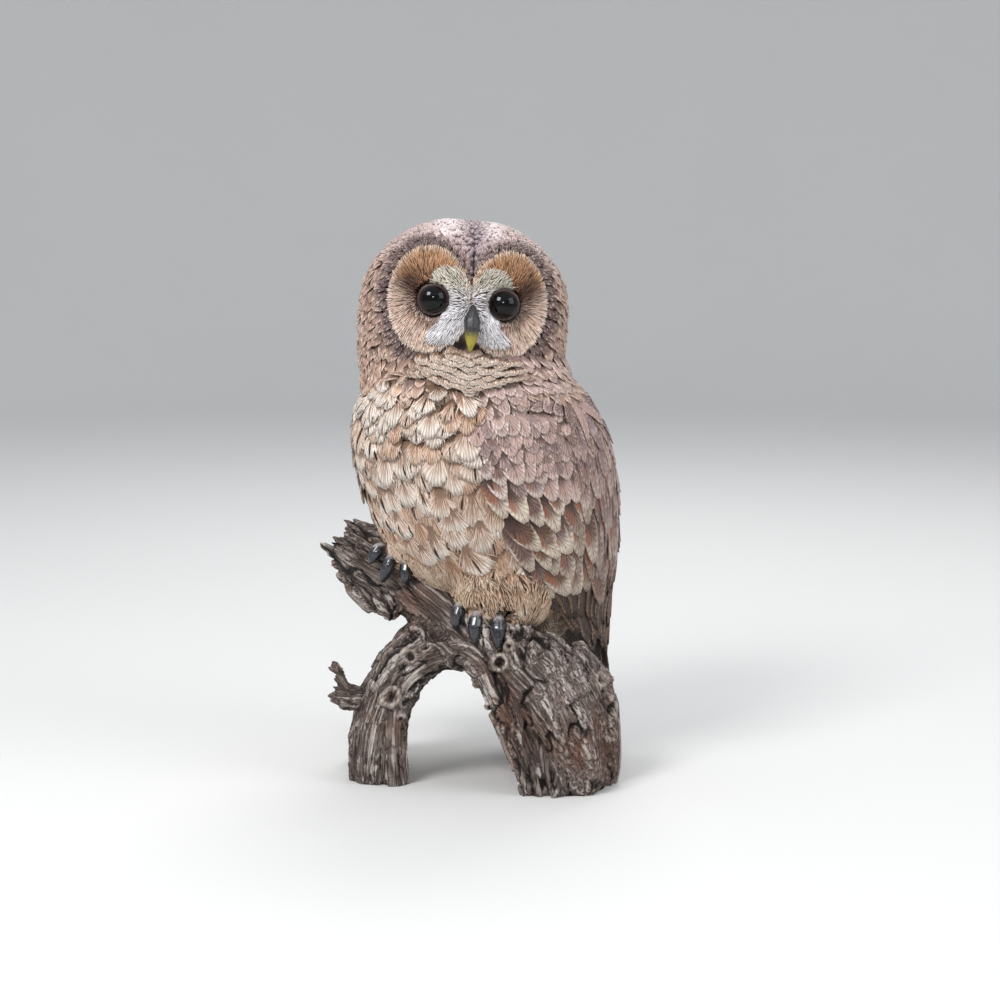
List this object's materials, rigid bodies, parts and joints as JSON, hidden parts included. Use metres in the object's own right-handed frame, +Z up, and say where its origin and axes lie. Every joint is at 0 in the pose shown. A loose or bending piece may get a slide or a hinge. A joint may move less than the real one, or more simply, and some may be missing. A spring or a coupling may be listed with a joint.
{
  "type": "garden owl statue on log",
  "caption": "Painted cast-resin tawny owl statue perched with folded wings on a weathered arched log that stands on two wide roots.",
  "frame": {"origin": "on the ground, under the middle of the bounding box", "axes": "+Z up, -Y is the side that the owl's face looks to, +X is on the right of a viewer in front"},
  "size_m": [0.2114, 0.187, 0.3984],
  "materials": {
    "plumage": "painted cast resin, dry-brushed mauve brown",
    "breast": "painted cast resin, golden tan with cream",
    "wing": "painted cast resin, red brown with pale tips",
    "tail": "painted cast resin, dark brown",
    "face": "painted cast resin, tan and cream",
    "eye": "clear gloss over black",
    "bill": "slate grey to yellow green",
    "talon": "satin black",
    "wood": "cast resin painted as weathered wood"
  },
  "bodies": {
    "root": {"bill": "bill", "eye_left": "eye", "eye_right": "eye", "face_disc_left": "face", "face_disc_right": "face", "head": "plumage", "knot_front": "wood", "knot_left_leg": "wood", "log_beam": "wood", "log_branch_end": "wood", "log_left_leg": "wood", "log_right_leg": "wood", "neck": "plumage", "tail": "tail", "talon_left_1": "talon", "talon_left_2": "talon", "talon_left_3": "talon", "talon_right_1": "talon", "talon_right_2": "talon", "talon_right_3": "talon", "toes_left": "breast", "toes_right": "breast", "trunk": "breast", "twig_stub_right": "wood", "twig_stub_shoulder": "wood", "wing_coverts_left": "wing", "wing_coverts_right": "wing", "wing_flight_left": "wing", "wing_flight_right": "wing"}
  },
  "joints": []
}
